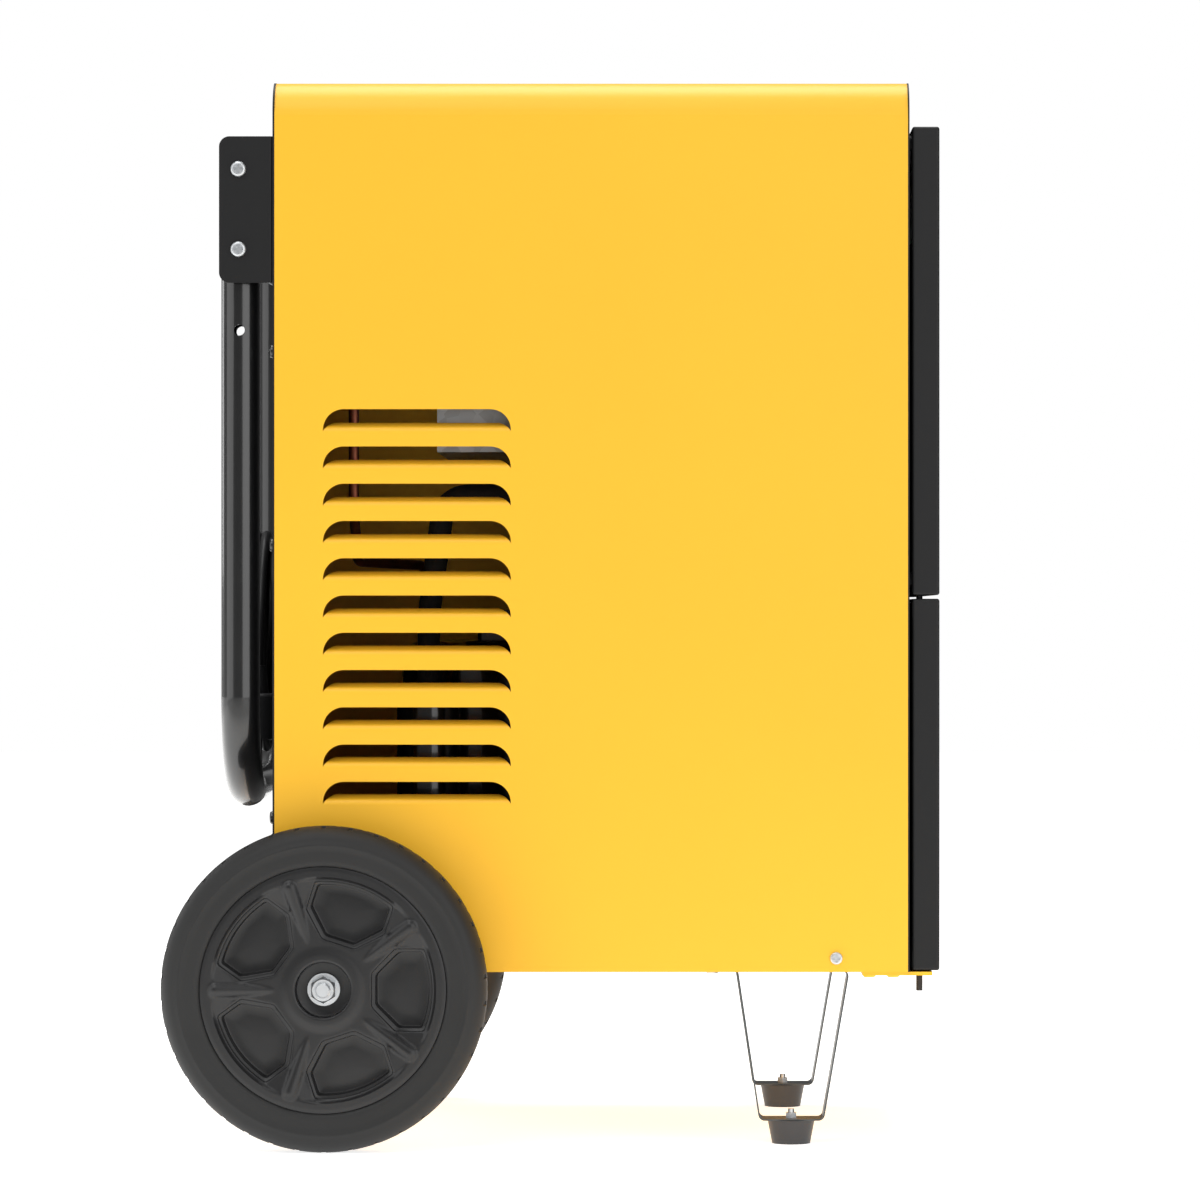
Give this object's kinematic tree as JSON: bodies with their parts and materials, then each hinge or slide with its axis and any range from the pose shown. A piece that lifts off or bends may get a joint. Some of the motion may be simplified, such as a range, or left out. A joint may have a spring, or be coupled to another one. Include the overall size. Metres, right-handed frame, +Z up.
{
  "type": "dehumidifier",
  "caption": "Portable commercial dehumidifier on wheels: louvred sheet-metal case, black front grille, hinged tank door and folding push handle.",
  "frame": {"origin": "middle of the whole machine's box in plan, on the ground that the tyres and rubber feet stand on", "axes": "+X to the front, where the intake grille and the tank door are; +Y to the machine's left; +Z up"},
  "size_m": [0.5986, 0.5, 0.825],
  "materials": {
    "yellow_powder_coat": "satin powder coat on sheet steel",
    "black_powder_coat": "fine-textured black powder coat on sheet steel",
    "black_tube": "gloss black paint on steel tube",
    "black_moulding": "fine-grained injection moulding",
    "wheel_plastic": "moulded polypropylene",
    "wheel_rubber": "solid moulded rubber",
    "foot_rubber": "moulded rubber",
    "zinc_steel": "zinc plated",
    "strap_steel": "dark zinc plated strip",
    "black_screws": "blackened steel screws",
    "pin_steel": "threaded steel rod",
    "galvanised_sheet": "galvanised sheet",
    "copper_tube": "drawn copper tube",
    "fin_aluminium": "mill finish fins",
    "compressor_black": "gloss black enamel",
    "pipe_foam": "closed-cell foam sleeve",
    "filter_foam": "open-cell foam",
    "tank_plastic": "blow-moulded polyethylene",
    "button_plastic": "moulded",
    "display_window": "smoked acrylic",
    "circuit_board": "solder-masked board",
    "cord_pvc": "PVC jacket"
  },
  "bodies": {
    "carcass": {"shell_cover": "yellow_powder_coat", "left_side_panel": "yellow_powder_coat", "base_plate": "yellow_powder_coat", "front_sill": "yellow_powder_coat", "rear_panel": "black_powder_coat", "front_frame": "black_powder_coat", "intake_grille": "black_powder_coat", "filter_frame": "black_moulding", "filter_mesh": "filter_foam", "front_panel_pins": "pin_steel", "door_magnet": "zinc_steel", "control_panel": "black_moulding", "display_window": "display_window", "control_board": "circuit_board", "inner_walls": "galvanised_sheet", "air_box": "black_powder_coat", "fan_motor": "compressor_black", "fan_motor_bracket": "black_powder_coat", "evaporator_coil": "fin_aluminium", "condenser_coil": "fin_aluminium", "drip_tray": "tank_plastic", "condensate_tank": "tank_plastic", "float_switch": "black_moulding", "compressor": "compressor_black", "compressor_grommets": "foot_rubber", "compressor_bolts": "zinc_steel", "accumulator": "compressor_black", "suction_pipe": "pipe_foam", "discharge_pipe": "pipe_foam", "liquid_line": "copper_tube", "electrical_box": "galvanised_sheet", "run_capacitor": "fin_aluminium", "handle_brackets": "black_powder_coat", "handle_screws": "zinc_steel", "handle_spacers": "black_moulding", "axle": "zinc_steel", "axle_carriers": "black_powder_coat", "axle_collars": "zinc_steel", "axle_nuts": "zinc_steel", "foot_brackets": "strap_steel", "foot_pads": "foot_rubber", "foot_screws": "zinc_steel", "side_screws": "zinc_steel", "rear_screws": "black_screws", "cord_coil": "cord_pvc", "mains_cord": "cord_pvc", "cable_gland": "black_moulding", "mains_plug": "black_moulding", "cord_hook": "black_moulding"},
    "right_wheel": {"rim_right": "wheel_plastic", "tyre_right": "wheel_rubber"},
    "left_wheel": {"rim_left": "wheel_plastic", "tyre_left": "wheel_rubber"},
    "handle": {"handle_tube": "black_tube"},
    "door": {"tank_door": "black_powder_coat"},
    "fan": {"fan_impeller": "black_moulding"},
    "float": {"float_arm": "tank_plastic"},
    "power_key": {"button_power": "button_plastic"},
    "up_key": {"button_up": "button_plastic"},
    "down_key": {"button_down": "button_plastic"}
  },
  "joints": [
    {"name": "right_wheel_spin", "type": "hinge", "parent": "carcass", "child": "right_wheel", "pos_m": [-0.17435, -0.2275, 0.125], "axis": [0, 1, 0], "continuous": true},
    {"name": "left_wheel_spin", "type": "hinge", "parent": "carcass", "child": "left_wheel", "pos_m": [-0.17435, 0.2275, 0.125], "axis": [0, 1, 0], "continuous": true},
    {"name": "handle_fold", "type": "hinge", "parent": "carcass", "child": "handle", "pos_m": [-0.24275, 0, 0.6946], "axis": [0, 1, 0], "range_deg": [0, 180]},
    {"name": "tank_door_swing", "type": "hinge", "parent": "carcass", "child": "door", "pos_m": [0.28395, -0.191, 0.281], "axis": [0, 0, -1], "range_deg": [0, 90]},
    {"name": "fan_spin", "type": "hinge", "parent": "carcass", "child": "fan", "pos_m": [-0.07, 0, 0.6763], "axis": [1, 0, 0], "continuous": true},
    {"name": "float_lift", "type": "hinge", "parent": "carcass", "child": "float", "pos_m": [0.0777, 0, 0.402], "axis": [0, -1, 0], "range_deg": [0, 5]},
    {"name": "power_button_press", "type": "slide", "parent": "carcass", "child": "power_key", "axis": [-1, 0, 0], "range_m": [0, 0.001], "stiffness_N_per_m": 600},
    {"name": "up_button_press", "type": "slide", "parent": "carcass", "child": "up_key", "axis": [-1, 0, 0], "range_m": [0, 0.001], "stiffness_N_per_m": 600},
    {"name": "down_button_press", "type": "slide", "parent": "carcass", "child": "down_key", "axis": [-1, 0, 0], "range_m": [0, 0.001], "stiffness_N_per_m": 600}
  ]
}
